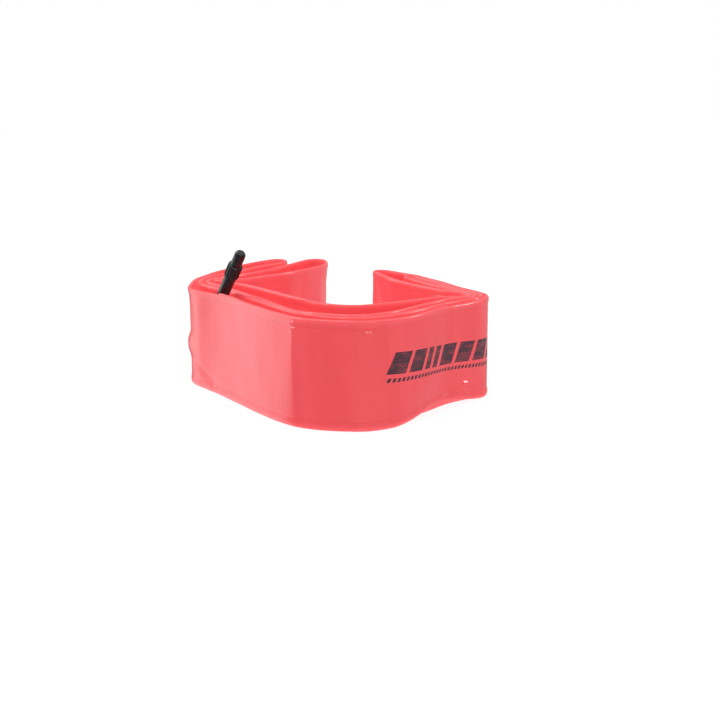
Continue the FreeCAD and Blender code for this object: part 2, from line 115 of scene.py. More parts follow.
def closed_spline(pts):
    """Periodic cubic spline through pts, read by running chord length: returns f(s) -> (points, unit tangents), and the length."""
    n = len(pts)
    q = np.vstack([pts, pts[:1]])
    h = np.linalg.norm(np.diff(q, axis=0), axis=1)
    t = np.r_[0, np.cumsum(h)]
    a = np.zeros((n, n))
    b = np.zeros((n, 2))
    for i in range(n):
        j, k = (i - 1) % n, (i + 1) % n
        a[i, j] += h[j]
        a[i, i] += 2 * (h[j] + h[i])
        a[i, k] += h[i]
        b[i] = 6 * ((q[i + 1] - q[i]) / h[i] - (pts[i] - pts[j]) / h[j])
    m = np.linalg.solve(a, b)
    m = np.vstack([m, m[:1]])

    def f(s):
        s = np.mod(np.asarray(s, float), t[-1])
        i = np.clip(np.searchsorted(t, s, side="right") - 1, 0, n - 1)
        hh = h[i][:, None]
        u = (t[i + 1] - s)[:, None] / hh
        v = 1 - u
        p = u * q[i] + v * q[i + 1] + ((u**3 - u) * m[i] + (v**3 - v) * m[i + 1]) * hh**2 / 6
        d = (q[i + 1] - q[i]) / hh - (3 * u**2 - 1) / 6 * hh * m[i] + (3 * v**2 - 1) / 6 * hh * m[i + 1]
        return p, d / np.linalg.norm(d, axis=1)[:, None]

    return f, t[-1]


ring, L = closed_spline(RING)


def crossings(y, low, high):
    s = np.linspace(0, L, 16001)
    p, _ = ring(s)
    i = np.where(((p[:-1, 1] - y) * (p[1:, 1] - y) < 0) & (p[:-1, 0] > low) & (p[:-1, 0] < high))[0]
    return [float(v) for v in s[i]]


g1, g4, g3, g2 = crossings(RIGHT_FOLD_Y, 60, 85)
f4, f3, f2, f1 = crossings(LEFT_FOLD_Y, -85, -60)

CREASE = -29.8 + L      # sharp upright crease of the front panel
TIPS = (232.0, 667.0, 1119.0, 1583.0)     # far ends of the leaves, along the ring
TIP_B = TIPS[3]
CUT_S2, CUT_S3, CUT_S4 = (g2 + f2) / 2, (f3 + g3) / 2, (g4 + f4) / 2


# ---------------------------------------------------------------- stations along the ring
def stations():
    probe = np.linspace(0, L, 4001)[:-1]
    _, t = ring(probe)
    ang = np.unwrap(np.arctan2(t[:, 1], t[:, 0]))
    k = np.abs(np.gradient(ang, probe))
    kk = np.array([k[np.abs((probe - s + L / 2) % L - L / 2) < 3].max() for s in probe])
    step = np.clip(0.16 / np.maximum(kk, 1e-3), 0.45, 1.7)
    front = ((probe > CREASE - 150) | (probe < 130))
    step[front] = np.minimum(step[front], 1.0)
    near = np.abs((probe - CREASE + L / 2) % L - L / 2)
    step[near < 9] = np.minimum(step[near < 9], 0.5)
    step[near < 3] = np.minimum(step[near < 3], 0.3)
    dent = (probe > 70) & (probe < 92)
    step[dent] = np.minimum(step[dent], 0.55)
    rate = 1 / step
    c = np.r_[0, np.cumsum((rate + np.roll(rate, -1)) / 2 * (probe[1] - probe[0]))]
    n = int(round(c[-1]))
    s = np.interp(np.arange(n) / n * c[-1], c, np.r_[probe, L])
    for cut in (CREASE, CUT_S2, CUT_S3, CUT_S4):
        s[np.argmin(np.abs(s - cut))] = cut
    return np.sort(s)


S = stations()
C, T = ring(S)
N = np.c_[T[:, 1], -T[:, 0]]        # to the right of the run: outwards on the front panel
NS = len(S)


def free_room():
    """Distance from each station to the next layer on both sides (mm)."""
    room = np.full((2, NS), 99.0)
    a, b = C, np.roll(C, -1, 0)
    e = b - a
    for i in range(NS):
        away = np.abs((S - S[i] + L / 2) % L - L / 2) > 7
        for side, sign in ((0, 1.0), (1, -1.0)):
            u = sign * N[i]
            den = u[0] * (-e[:, 1]) + u[1] * e[:, 0]
            den = np.where(np.abs(den) < 1e-9, 1e-9, den)
            w = a - C[i]
            t = (w[:, 0] * (-e[:, 1]) + w[:, 1] * e[:, 0]) / den
            r = (u[0] * w[:, 1] - u[1] * w[:, 0]) / den
            ok = away & (t > 0) & (r >= 0) & (r < 1)
            if ok.any():
                room[side, i] = t[ok].min()
    return room


ROOM_OUT, ROOM_IN = free_room()


def smooth_ring(x, reach):
    """Moving average along the ring over +-reach mm."""
    out = np.empty_like(x)
    for i in range(NS):
        d = np.abs((S - S[i] + L / 2) % L - L / 2)
        w = np.clip(1 - d / reach, 0, None)
        out[i] = (x * w).sum() / w.sum()
    return out


ROOM_OUT = np.minimum(smooth_ring(np.minimum(ROOM_OUT, 12), 5), ROOM_OUT)
ROOM_IN = np.minimum(smooth_ring(np.minimum(ROOM_IN, 12), 5), ROOM_IN)
SLACK = np.clip((np.minimum(ROOM_OUT, ROOM_IN) - 2.5) * 0.30, 0.03, 0.75)


def bell(x, c, w):
    return np.exp(-(((x - c) / w) ** 2))


def ease(x, a, b):
    t = np.clip((x - a) / (b - a), 0, 1)
    return t * t * (3 - 2 * t)


def loc(s):
    """s as a signed length round the front of the printed panel."""
    return (s + L / 2) % L - L / 2


def line_fold(s, z, p, q, width, power=1.0):
    """1 on the straight line p-q of the film (s, z), falling off sideways and at both ends."""
    px, pz = p
    dx, dz = q[0] - px, q[1] - pz
    ll = math.hypot(dx, dz)
    ux, uz = dx / ll, dz / ll
    along = (s - px) * ux + (z - pz) * uz
    across = np.abs(-(s - px) * uz + (z - pz) * ux)
    ends = ease(along, -0.12 * ll, 0.18 * ll) * (1 - ease(along, 0.82 * ll, 1.12 * ll))
    return np.exp(-((across / width) ** power)) * ends


class Waves:
    """Smooth seeded noise over the film, with wavelengths between two sizes."""

    def __init__(self, n, low, high, stretch):
        lam = np.exp(rng.uniform(math.log(low), math.log(high), n))
        ang = rng.uniform(0, math.pi, n)
        self.kx = 2 * math.pi / lam * np.cos(ang)
        self.kz = 2 * math.pi / lam * np.sin(ang) * stretch
        self.ph = rng.uniform(0, 2 * math.pi, n)
        self.n = n

    def __call__(self, s, z):
        out = np.zeros(np.broadcast(s, z).shape)
        for a, b, c in zip(self.kx, self.kz, self.ph):
            out += np.sin(a * s + b * z + c)
        return out / math.sqrt(self.n)


big = Waves(9, 34, 80, 0.35)
mid = Waves(12, 12, 28, 0.5)
tall = Waves(10, 7, 16, 0.12)
edge = Waves(8, 26, 70, 0.0)
edge2 = Waves(8, 26, 70, 0.0)


# ---------------------------------------------------------------- cross-section of the flattened tubing
def section():
    """(height, half thickness) from the lower edge to the upper edge on one side, then down the other."""
    r = BEAD
    low = [(RISE - RISE * math.cos(a) ** (2 / FLAT), 0.0) for a in np.radians([0, 9, 20, 32, 44, 57, 73])] + [(RISE, r)]
    rise = [2.1, 2.5, 3.0, 3.4, 3.75, 4.05, 4.35, 4.8, 5.4, 6.2]
    middle = list(np.arange(6.75, 12.6, 0.45)) + list(np.linspace(13.4, W - 7.2, 27))
    z = [a for a, _ in low] + rise + middle + [W - v for v in reversed(rise)] + [W - a for a, _ in reversed(low)]

    def half(v):
        d = min(v, W - v)
        if d <= RISE:
            return r * max(1 - ((RISE - d) / RISE) ** FLAT, 0.0) ** (1 / FLAT)
        return WEB + (r - WEB) * math.exp(-(((d - RISE) / 1.6) ** 2)) - 0.10 * math.exp(-(((d - 4.05) / 0.42) ** 2))

    up = [(v, half(v), 1.0) for v in z]
    down = [(v, half(v), -1.0) for v in reversed(z[1:-1])]
    return np.array(up + down)


SEC = section()
Z, H, SIDE = SEC[:, 0], SEC[:, 1], SEC[:, 2]
NV = len(SEC)
print("film grid", NS, NV)

s2 = S[:, None] + 0 * Z[None]
z2 = 0 * S[:, None] + Z[None]
q2 = loc(s2)                       # signed length round the front
side2 = 0 * s2 + SIDE[None]
belly = np.clip(1 - (2 * z2 / W - 1) ** 4, 0, 1)

# general slackness of the film, limited by the room between the layers
slack = SLACK[:, None]
move = slack * (0.55 * big(s2, z2) * (0.35 + 0.65 * belly) + 0.22 * mid(s2, z2) * belly + 0.10 * tall(s2, z2) * belly)
move = np.clip(move, -1.15 * slack, 1.15 * slack)
# the two films lie a little apart where there is room
puff = np.clip(0.28 * slack * (mid(s2 + 400, z2) + 0.9), 0, 0.4) * belly * (1 - 0.6 * ease(q2, -178, -165) * (1 - ease(q2, 104, 112)))
lift = 0.12 * edge(s2, z2) * (z2 / W)
lift_low = 0.08 * (edge2(s2, z2) + 1.2) * (1 - z2 / W)

front = ease(q2, -178, -165) * (1 - ease(q2, 104, 112))

# front panel: its left facet stands out at the foot and runs straight from the left end to the crease
foot_out = np.interp(q2, [-154, -148, -141, -132, -120, -108, -96, -84, -72, -60, -48, -38, -24, -10],
                     [0.0, 0.7, 1.6, 2.2, 3.1, 3.3, 3.0, 2.6, 2.2, 1.9, 1.6, 1.3, 0.5, 0.0])
out = foot_out * (1 - z2 / W) ** 1.05
# right facet: the foot is tucked in and pulled up towards the middle of the panel
foot_up = np.interp(q2, [6, 20, 34, 50, 62, 70, 77, 84, 91, 98, 104], [0.0, 0.4, 1.9, 3.6, 4.0, 3.3, 2.5, 1.7, 0.8, 0.15, 0.0])
tuck = ease(q2, 22, 56) * (1 - ease(q2, 88, 106))
room_in = np.clip(ROOM_IN[:, None] - 2.4, 0.0, 2.2)
out -= np.minimum(2.0 * tuck, room_in) * (1 - ease(z2, 0, 26)) ** 1.3
lift_low += foot_up * (1 - ease(z2, 0, 26))
# sharp upright crease
lean_line = np.interp(z2, [0, 12, 30, 50], [-27.4, -28.6, -30.1, -29.8])
d = q2 - lean_line
out += 0.95 * np.exp(-np.abs(d) / np.where(d < 0, 9.0, 5.0)) * (0.45 + 0.55 * ease(z2, 1, 6)) * (1 - 0.6 * ease(z2, 46.5, 50))
# diagonal fold under the valve foot, and the tension lines round it
out -= 0.38 * line_fold(q2, z2, (-156, 17.5), (-112, 3.5), 2.4, 1.2)
out += 0.26 * line_fold(q2, z2, (-152, 12.0), (-118, 1.5), 2.4, 1.4)
out += 0.22 * line_fold(q2, z2, (-114.5, 1.0), (-112.5, 9.0), 1.4, 1.3)
out -= 0.05 * line_fold(q2, z2, (-146, 28), (-118, 44), 3.2, 1.5)
# soft upright folds of the left facet
for c, w, a in ((-134, 6.5, 0.12), (-120, 7.5, -0.12), (-101, 8.0, 0.10), (-84, 9.0, -0.08), (-62, 8.0, 0.06)):
    out += a * bell(q2 + 0.10 * (z2 - 25), c, w) * belly
# dents of the printed panel
for c, cz, ws, wz, a in (
        (6.5, 45.6, 3.2, 0.95, -0.66), (5.5, 43.6, 3.0, 0.9, 0.34), (3.0, 47.4, 6.0, 0.8, 0.18), (12.0, 43.0, 9.0, 2.6, -0.18),
        (-13.0, 27.0, 9.0, 40.0, -0.16), (14.0, 24.0, 16.0, 40.0, 0.22),
):
    out += a * bell(q2, c, ws) * bell(z2, cz, wz)
# small sharp dents: the ridge of each has straight flanks
for c0, c1, cz, w, a in (
    (79.6, 84.6, 8.7, 1.9, 1.18), (80.6, 86.4, 4.5, 1.5, 0.98), (78.2, 82.0, 12.3, 1.2, -0.35),
    (-32.2, -28.8, 47.1, 1.25, 0.80), (-31.4, -27.8, 44.6, 1.25, 0.80), (-30.6, -28.2, 42.4, 1.0, 0.45),
):
    out += a * np.clip(1 - np.abs(z2 - cz) / w, 0, 1) * ease(q2, c0 - 0.8, c0 + 0.6) * (1 - ease(q2, c1 - 0.6, c1 + 0.8))
out -= 0.42 * line_fold(q2, z2, (58, 2.2), (79, 7.2), 1.7, 1.2)
out += 0.24 * line_fold(q2, z2, (62, 1.0), (82, 4.6), 1.7, 1.5)
out -= 0.40 * line_fold(q2, z2, (67, 50.5), (67.6, 42), 0.9, 1.2)
out += 0.30 * line_fold(q2, z2, (69.5, 50.5), (70.4, 43), 1.2, 1.4)
lift -= 0.45 * ease(q2, 66.4, 67.6) * (1 - ease(q2, 80, 104)) * ease(z2, 40, 48)
# the printed panel's lap near its left end: the edge steps up
step_up = 0.45 * ease(q2, -117.0, -114.5) * (1 - ease(q2, -60, -20)) * ease(z2, 38, 47)
step_up -= 0.55 * ease(q2, -176, -160) * (1 - ease(q2, -117.0, -115.2)) * ease(z2, 38, 47)

move = move * (1 - front) + front * (0.16 * move + out)
lift = lift + front * step_up

# the pad of the valve foot pushes the outer film out; the inner film stays where it is
foot_s = loc(S[np.argmin(np.hypot(*(C - VALVE[:2]).T) + 99 * (np.abs(loc(S) + 150) > 25))])
FOOT_S = foot_s
push = 1.7 * bell(q2, foot_s - 9.0, 9.0) * (ease(z2, 11.5, 17.5) * (1 - ease(z2, 20.5, 27.0)))
push *= (side2 > 0)

# layers behind: a crease line runs along each folded edge, and the tips are pinched
X = C[:, 0][:, None] + N[:, 0][:, None] * (move + side2 * (H[None] + puff * (H[None] / BEAD)) + push)
Y = C[:, 1][:, None] + N[:, 1][:, None] * (move + side2 * (H[None] + puff * (H[None] / BEAD)) + push)
ZZ = np.clip(z2 + lift + lift_low, 0.0, None)
# rounded lower corner at the right end
corner = ease(q2, 103, 110) * (1 - ease(q2, 114, 128))
ZZ += 0.9 * corner * (1 - ease(z2, 0, 7))
# the left end narrows just under its rounded upper edge
end = ease(-X, 68.0, 75.0) * (1 - ease(Y, 16.0, 26.0))
X += 1.10 * end * (1 - np.exp(-np.clip(W - 1.5 - z2, 0, None) / 9.0))
Y -= 1.8 * bell(q2, -146.0, 8.0) * (1 - z2 / W) ** 2 * front
back_tip = bell((s2 - TIP_B + L / 2) % L - L / 2, 0.0, 8.0)
X -= back_tip * (0.5 + 1.3 * ease(z2, 43.5, 50.0))
X -= (0.45 + 1.35 * (1 - ease(z2, 36, 49))) * bell((s2 - 658.0 + L / 2) % L - L / 2, 0.0, 26.0)
X += bell((s2 - TIPS[0] + L / 2) % L - L / 2, 0.0, 8.0) * (0.9 + 0.6 * ease(z2, 44.0, 50.0))
X += 1.5 * bell((s2 - TIPS[2] + L / 2) % L - L / 2, 0.0, 7.0)
P = np.stack([X, Y, ZZ], -1) * MM

# normals of the whole closed surface, so that the pieces meet without a shading seam
du = np.roll(P, -1, 0) - np.roll(P, 1, 0)
dv = np.roll(P, -1, 1) - np.roll(P, 1, 1)
NRM = np.cross(du, dv)
NRM /= np.maximum(np.linalg.norm(NRM, axis=-1, keepdims=True), 1e-12)
if (NRM[:, :, :2] * (N[:, None] * side2[..., None])).sum() < 0:
    NRM = -NRM
    FLIP = True
else:
    FLIP = False


# section points of the outer face (UP) and of the inner face (DOWN), each from the lower edge up
UP = np.where(SIDE > 0)[0]
DOWN = np.where(SIDE < 0)[0][::-1]


def film_point(s, z, share):
    """Point in the film at (s, z): share 0 on the inner face of the layer, 1 on its outer face (metres)."""
    s, z = np.broadcast_arrays(np.asarray(s, float) % L, np.asarray(z, float))
    i = np.clip(np.searchsorted(S, s) - 1, 0, NS - 2)
    u = ((s - S[i]) / (S[i + 1] - S[i]))[..., None]

    def face(cols):
        zz = Z[cols]
        j = np.clip(np.searchsorted(zz, z) - 1, 0, len(zz) - 2)
        v = ((z - zz[j]) / (zz[j + 1] - zz[j]))[..., None]
        a, b = cols[j], cols[j + 1]
        return (P[i, a] * (1 - u) + P[i + 1, a] * u) * (1 - v) + (P[i, b] * (1 - u) + P[i + 1, b] * u) * v

    inner, outer = face(DOWN), face(UP)
    share = np.asarray(share, float)
    share = share[..., None] if share.ndim else share
    return inner + (outer - inner) * share


# ---------------------------------------------------------------- node helpers
class Nodes:
    def __init__(self, tree):
        self.tree = tree

    def add(self, kind, **values):
        n = self.tree.nodes.new(kind)
        for k, v in values.items():
            if k.startswith("in_"):
                key = k[3:]
                sock = n.inputs[int(key)] if key.isdigit() else n.inputs[key.replace("_", " ")]
                self.put(sock, v)
            else:
                setattr(n, k, v)
        return n

    def put(self, sock, v):
        if isinstance(v, bpy.types.NodeSocket):
            self.tree.links.new(v, sock)
        elif isinstance(v, bpy.types.Node):
            self.tree.links.new(v.outputs[0], sock)
        else:
            sock.default_value = v

    def math(self, op, a, b=0.0, c=None, clamp=False):
        n = self.tree.nodes.new("ShaderNodeMath")
        n.operation = op
        n.use_clamp = clamp
        self.put(n.inputs[0], a)
        self.put(n.inputs[1], b)
        if c is not None:
            self.put(n.inputs[2], c)
        return n.outputs[0]

    def step(self, x, a, b):
        """0 below a, 1 above b, smooth between."""
        n = self.tree.nodes.new("ShaderNodeMapRange")
        n.interpolation_type = "SMOOTHSTEP"
        self.put(n.inputs[0], x)
        n.inputs[1].default_value = a
        n.inputs[2].default_value = b
        return n.outputs[0]

    def mix(self, fac, a, b):
        n = self.tree.nodes.new("ShaderNodeMix")
        n.data_type = "RGBA"
        self.put(n.inputs[0], fac)
        self.put(n.inputs[6], a)
        self.put(n.inputs[7], b)
        return n.outputs[2]

    def noise(self, vec, scale, detail=3.0, rough=0.5):
        n = self.tree.nodes.new("ShaderNodeTexNoise")
        self.put(n.inputs["Vector"], vec)
        n.inputs["Scale"].default_value = scale
        n.inputs["Detail"].default_value = detail
        n.inputs["Roughness"].default_value = rough
        return n.outputs[0]


def new_material(name):
    m = bpy.data.materials.new(name)
    m.use_nodes = True
    m.node_tree.nodes.clear()
    n = Nodes(m.node_tree)
    out = n.add("ShaderNodeOutputMaterial")
    p = n.add("ShaderNodeBsdfPrincipled")
    m.node_tree.links.new(p.outputs[0], out.inputs[0])
    return m, n, p


def rgb(r, g, b):
    """sRGB 0-255 to linear."""
    def f(c):
        c /= 255
        return c / 12.92 if c <= 0.04045 else ((c + 0.055) / 1.055) ** 2.4
    return (f(r), f(g), f(b), 1.0)


def film_material():
    m, n, p = new_material("red_film")
    uv = n.add("ShaderNodeUVMap", uv_map="film")
    sep = n.add("ShaderNodeSeparateXYZ", in_0=uv.outputs[0])
    u, v = sep.outputs[0], sep.outputs[1]           # millimetres along the ring and up the film
    geo = n.add("ShaderNodeTexCoord")
    obj = geo.outputs["Object"]
    # colour: coral red with a slow drift; painted sheen: the rounded edges are tinted paler
    stretch = n.add("ShaderNodeCombineXYZ", in_0=n.math("MULTIPLY", u, 0.05), in_1=n.math("MULTIPLY", v, 0.012), in_2=0.0)
    drift = n.noise(stretch, 1.6, 2.0)
    streak = n.noise(n.add("ShaderNodeCombineXYZ", in_0=n.math("MULTIPLY", u, 0.16), in_1=n.math("MULTIPLY", v, 0.014), in_2=3.0), 1.0, 3.0)
    base = n.mix(n.step(drift, 0.32, 0.68), FILM_A, FILM_B)
    base = n.mix(n.math("MULTIPLY", n.step(streak, 0.5, 0.75), 0.18), base, FILM_C)
    # painted sheen: a paler tint on the rounded edges
    low = n.math("MINIMUM", v, n.math("SUBTRACT", W, v))
    edge_sheen_mask = n.math("SUBTRACT", 1.0, n.step(low, 0.8, 3.0))
    base = n.mix(n.math("MULTIPLY", edge_sheen_mask, 0.50), base, FILM_EDGE_SHEEN)
    # painted shade: a darker band along the groove 4 mm in from each edge
    groove_shade = n.math("MULTIPLY", n.step(low, 3.5, 3.95), n.math("SUBTRACT", 1.0, n.step(low, 4.15, 4.6)))
    base = n.mix(n.math("MULTIPLY", groove_shade, 0.30), base, FILM_GROOVE_SHADE)
    # generic printed mark: slanted bars with cut lines, and a strip of small blocks under them
    slope = n.math("ADD", v, n.math("MULTIPLY", n.math("SUBTRACT", u, 15.5), 0.06))
    slant = n.math("SUBTRACT", u, n.math("MULTIPLY", n.math("SUBTRACT", v, 25.0), 0.55))
    mask = None
    for a0, a1 in ((14.0, 26.0), (28.5, 39.5), (42.0, 47.0), (49.5, 54.5), (57.5, 70.0), (73.0, 85.5), (88.5, 101.0), (104.0, 118.0)):
        bar = n.math("MULTIPLY", n.step(slant, a0, a0 + 0.25), n.math("SUBTRACT", 1.0, n.step(slant, a1, a1 + 0.25)))
        mask = bar if mask is None else n.math("MAXIMUM", mask, bar)
    tall_ = n.math("MULTIPLY", n.step(slope, 25.0, 25.2), n.math("SUBTRACT", 1.0, n.step(slope, 34.9, 35.1)))
    mask = n.math("MULTIPLY", mask, tall_)
    hatch = n.math("FRACT", n.math("DIVIDE", slope, 0.92))
    thin = n.step(n.noise(n.add("ShaderNodeCombineXYZ", in_0=n.math("MULTIPLY", u, 0.11), in_1=n.math("MULTIPLY", v, 0.5), in_2=8.0), 1.3, 1.0), 0.35, 0.62)
    cut = n.step(hatch, 0.10, 0.22)
    cut = n.math("ADD", cut, n.math("MULTIPLY", n.math("SUBTRACT", 1.0, cut), thin), clamp=True)
    mask = n.math("MULTIPLY", mask, cut)
    strip_h = n.math("MULTIPLY", n.step(slope, 21.3, 21.45), n.math("SUBTRACT", 1.0, n.step(slope, 23.15, 23.3)))
    block = n.math("FRACT", n.math("DIVIDE", slant, 3.1))
    block = n.math("MULTIPLY", n.step(block, 0.20, 0.26), n.math("SUBTRACT", 1.0, n.step(block, 0.82, 0.88)))
    strip_s = n.math("MULTIPLY", n.step(slant, 15.0, 15.1), n.math("SUBTRACT", 1.0, n.step(slant, 116.0, 116.1)))
    mask2 = n.math("MULTIPLY", n.math("MULTIPLY", strip_h, block), strip_s)
    mask = n.math("MAXIMUM", mask, mask2)
    wear = n.step(n.noise(obj, 2600, 2.0), 0.30, 0.45)
    mask = n.math("MULTIPLY", mask, n.math("ADD", 0.80, n.math("MULTIPLY", wear, 0.16)), clamp=True)
    base = n.mix(mask, base, rgb(48, 38, 54))
    n.put(p.inputs["Base Color"], base)
    rough = n.math("ADD", 0.13, n.math("MULTIPLY", n.noise(obj, 60, 4.0), 0.10))
    rough = n.math("ADD", rough, n.math("MULTIPLY", mask, 0.18))
    # creased film at the tips of the leaves is matter
    worn = None
    for tip in TIPS:
        t = n.math("SUBTRACT", 1.0, n.step(n.math("ABSOLUTE", n.math("SUBTRACT", n.math("WRAP", u, L, 0.0), tip)), 7.0, 20.0))
        worn = t if worn is None else n.math("MAXIMUM", worn, t)
    rough = n.math("ADD", rough, n.math("MULTIPLY", worn, 0.38))
    n.put(p.inputs["Roughness"], rough)
    p.inputs["IOR"].default_value = 1.50
    p.inputs["Subsurface Weight"].default_value = 0.35
    p.inputs["Subsurface Radius"].default_value = (1.0, 0.25, 0.22)
    p.inputs["Subsurface Scale"].default_value = 0.0026
    # painted light: the film glows coral, standing in for light let through the film from behind, which lifts the folds
    n.put(p.inputs["Emission Color"], n.mix(mask, rgb(255, 92, 96), rgb(20, 8, 10)))
    # painted light: more glow where ambient occlusion finds the film shut in between layers
    gap_occlusion = n.math("SUBTRACT", 1.0, n.add("ShaderNodeAmbientOcclusion", samples=4, in_Distance=0.007).outputs["AO"])
    glow = n.math("ADD", GLOW, n.math("MULTIPLY", n.step(gap_occlusion, 0.25, 1.0), 0.42))
    run = n.math("WRAP", u, L, 0.0)
    behind_glow_mask = n.math("MULTIPLY", n.step(run, 130.0, 160.0), n.math("SUBTRACT", 1.0, n.step(run, L - 215.0, L - 185.0)))
    # painted light: extra glow on the layers behind the front panel
    glow = n.math("ADD", glow, n.math("MULTIPLY", behind_glow_mask, 0.06))    # the layers behind the front panel
    n.put(p.inputs["Emission Strength"], glow)
    # surface: fine rolling lines of the blown film and a faint orange peel
    lines = n.noise(n.add("ShaderNodeCombineXYZ", in_0=n.math("MULTIPLY", u, 0.9), in_1=n.math("MULTIPLY", v, 0.06), in_2=0.0), 1.0, 3.0)
    peel = n.noise(obj, 420, 3.0)
    hgt = n.math("ADD", n.math("MULTIPLY", lines, 0.6), n.math("MULTIPLY", peel, 0.5))
    b = n.add("ShaderNodeBump", in_Strength=0.35, in_Distance=0.00016)
    n.put(b.inputs["Height"], hgt)
    n.put(p.inputs["Normal"], b.outputs[0])
    return m


# strength of the painted glow of the film
GLOW = 0.285
FILM_A = rgb(209, 74, 82)
FILM_B = rgb(204, 68, 76)
FILM_C = rgb(215, 85, 91)
# painted sheen tint of the rounded edges
FILM_EDGE_SHEEN = rgb(230, 94, 99)
# painted shade colour of the edge grooves
FILM_GROOVE_SHADE = rgb(202, 48, 56)
film = film_material()


# ---------------------------------------------------------------- the film pieces
def film_piece(name, s_from, s_to):
    """The part of the film from s_from to s_to (running on round the ring), closed at both ends."""
    i0 = int(np.argmin(np.abs(S - s_from % L)))
    i1 = int(np.argmin(np.abs(S - s_to % L)))
    idx = list(range(i0, i1 + 1)) if i1 > i0 else list(range(i0, NS)) + list(range(0, i1 + 1))
    n = len(idx)
    verts = P[idx].reshape(-1, 3)
    nrm = NRM[idx].reshape(-1, 3)
    faces = []
    for a in range(n - 1):
        for b in range(NV):
            c = (b + 1) % NV
            f = (a * NV + b, (a + 1) * NV + b, (a + 1) * NV + c, a * NV + c)
            faces.append(f)
    # the end caps pair each point with the one opposite, so that they stay flat strips
    half = NV // 2
    for a, rev in ((0, False), (n - 1, True)):
        o = a * NV
        for b in range(half):
            c0, c1 = b, b + 1
            d0, d1 = (NV - b) % NV, (NV - b - 1) % NV
            q = [o + c0, o + c1, o + d1, o + d0]
            q = [v for k, v in enumerate(q) if v not in q[:k]]
            faces.append(tuple(reversed(q)) if rev else tuple(q))
    mesh = bpy.data.meshes.new(name)
    mesh.from_pydata(verts.tolist(), [], faces)
    # mesh faces must point outwards
    p0 = mesh.polygons[(NV // 4)]
    if np.dot(np.array(p0.normal), nrm[p0.vertices[0]]) < 0:
        mesh.flip_normals()
    uvl = mesh.uv_layers.new(name="film")
    li = np.empty(len(mesh.loops), int)
    mesh.loops.foreach_get("vertex_index", li)
    ss = loc(S[idx])
    if ss.max() - ss.min() > L * 0.9:
        pass
    side = SIDE[li % NV]
    u = ss[li // NV] + np.where(side > 0, 0.0, 2 * L)
    v = Z[li % NV]
    uvl.data.foreach_set("uv", np.c_[u, v].astype(np.float32).ravel())
    mesh.validate()
    mesh.shade_smooth()
    mesh.normals_split_custom_set_from_vertices([tuple(v) for v in nrm])
    mesh.materials.append(film)
    ob = bpy.data.objects.new(name, mesh)
    bpy.context.scene.collection.objects.link(ob)
    return ob


left_back = film_piece("film_left_back_fold", CUT_S2, CREASE)
right_outer = film_piece("film_right_outer_fold", CREASE, CUT_S4)
left_front = film_piece("film_left_front_fold", CUT_S4, CUT_S3)
right_inner = film_piece("film_right_inner_fold", CUT_S3, CUT_S2)
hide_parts("tube_left_back_fold", "tube_front_panel")
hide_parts("tube_right_outer_fold", "tube_inner_panel")
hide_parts("tube_left_front_fold", "tube_third_panel")
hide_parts("tube_right_inner_fold", "tube_second_panel")
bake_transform(left_back)
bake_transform(left_front)
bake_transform(right_outer)
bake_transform(right_inner)


# ---------------------------------------------------------------- valve materials
def black_plastic():
    m, n, p = new_material("black_plastic")
    obj = n.add("ShaderNodeTexCoord").outputs["Object"]
    c = n.mix(n.step(n.noise(obj, 900, 3.0), 0.4, 0.7), rgb(20, 16, 22), rgb(31, 25, 34))
    n.put(p.inputs["Base Color"], c)
    n.put(p.inputs["Roughness"], n.math("ADD", 0.16, n.math("MULTIPLY", n.noise(obj, 1400, 4.0), 0.14)))
    p.inputs["IOR"].default_value = 1.5
    b = n.add("ShaderNodeBump", in_Strength=0.25, in_Distance=0.00005)
    n.put(b.inputs["Height"], n.noise(obj, 3500, 3.0))
    n.put(p.inputs["Normal"], b.outputs[0])
    return m


def brass():
    m, n, p = new_material("brass")
    obj = n.add("ShaderNodeTexCoord").outputs["Object"]
    c = n.mix(n.step(n.noise(obj, 1200, 3.0), 0.4, 0.7), rgb(214, 178, 104), rgb(190, 150, 82))
    n.put(p.inputs["Base Color"], c)
    p.inputs["Metallic"].default_value = 1.0
    n.put(p.inputs["Roughness"], n.math("ADD", 0.20, n.math("MULTIPLY", n.noise(obj, 3000, 4.0), 0.22)))
    b = n.add("ShaderNodeBump", in_Strength=0.3, in_Distance=0.00003)
    n.put(b.inputs["Height"], n.noise(obj, 9000, 2.0))
    n.put(p.inputs["Normal"], b.outputs[0])
    return m


def seal_rubber():
    m, n, p = new_material("seal_rubber")
    obj = n.add("ShaderNodeTexCoord").outputs["Object"]
    n.put(p.inputs["Base Color"], n.mix(n.noise(obj, 2500, 3.0), rgb(24, 24, 25), rgb(44, 43, 44)))
    n.put(p.inputs["Roughness"], n.math("ADD", 0.55, n.math("MULTIPLY", n.noise(obj, 4000, 4.0), 0.25)))
    return m


def moulded_film(name, a, b):
    m, n, p = new_material(name)
    obj = n.add("ShaderNodeTexCoord").outputs["Object"]
    n.put(p.inputs["Base Color"], n.mix(n.step(n.noise(obj, 160, 3.0), 0.35, 0.65), a, b))
    n.put(p.inputs["Roughness"], n.math("ADD", 0.16, n.math("MULTIPLY", n.noise(obj, 300, 4.0), 0.14)))
    p.inputs["Subsurface Weight"].default_value = 0.3
    p.inputs["Subsurface Radius"].default_value = (1.0, 0.25, 0.22)
    p.inputs["Subsurface Scale"].default_value = 0.002
    bump = n.add("ShaderNodeBump", in_Strength=0.3, in_Distance=0.0001)
    n.put(bump.inputs["Height"], n.noise(obj, 700, 3.0))
    n.put(p.inputs["Normal"], bump.outputs[0])
    return m


def solid(name, verts, faces, mat, slot, smooth=True):
    mesh = bpy.data.meshes.new(name)
    mesh.from_pydata([tuple(v) for v in verts], [], faces)
    mesh.validate()
    if smooth:
        mesh.shade_smooth()
    mesh.materials.append(mat)
    ob = bpy.data.objects.new(name, mesh)
    bpy.context.scene.collection.objects.link(ob)
    return ob


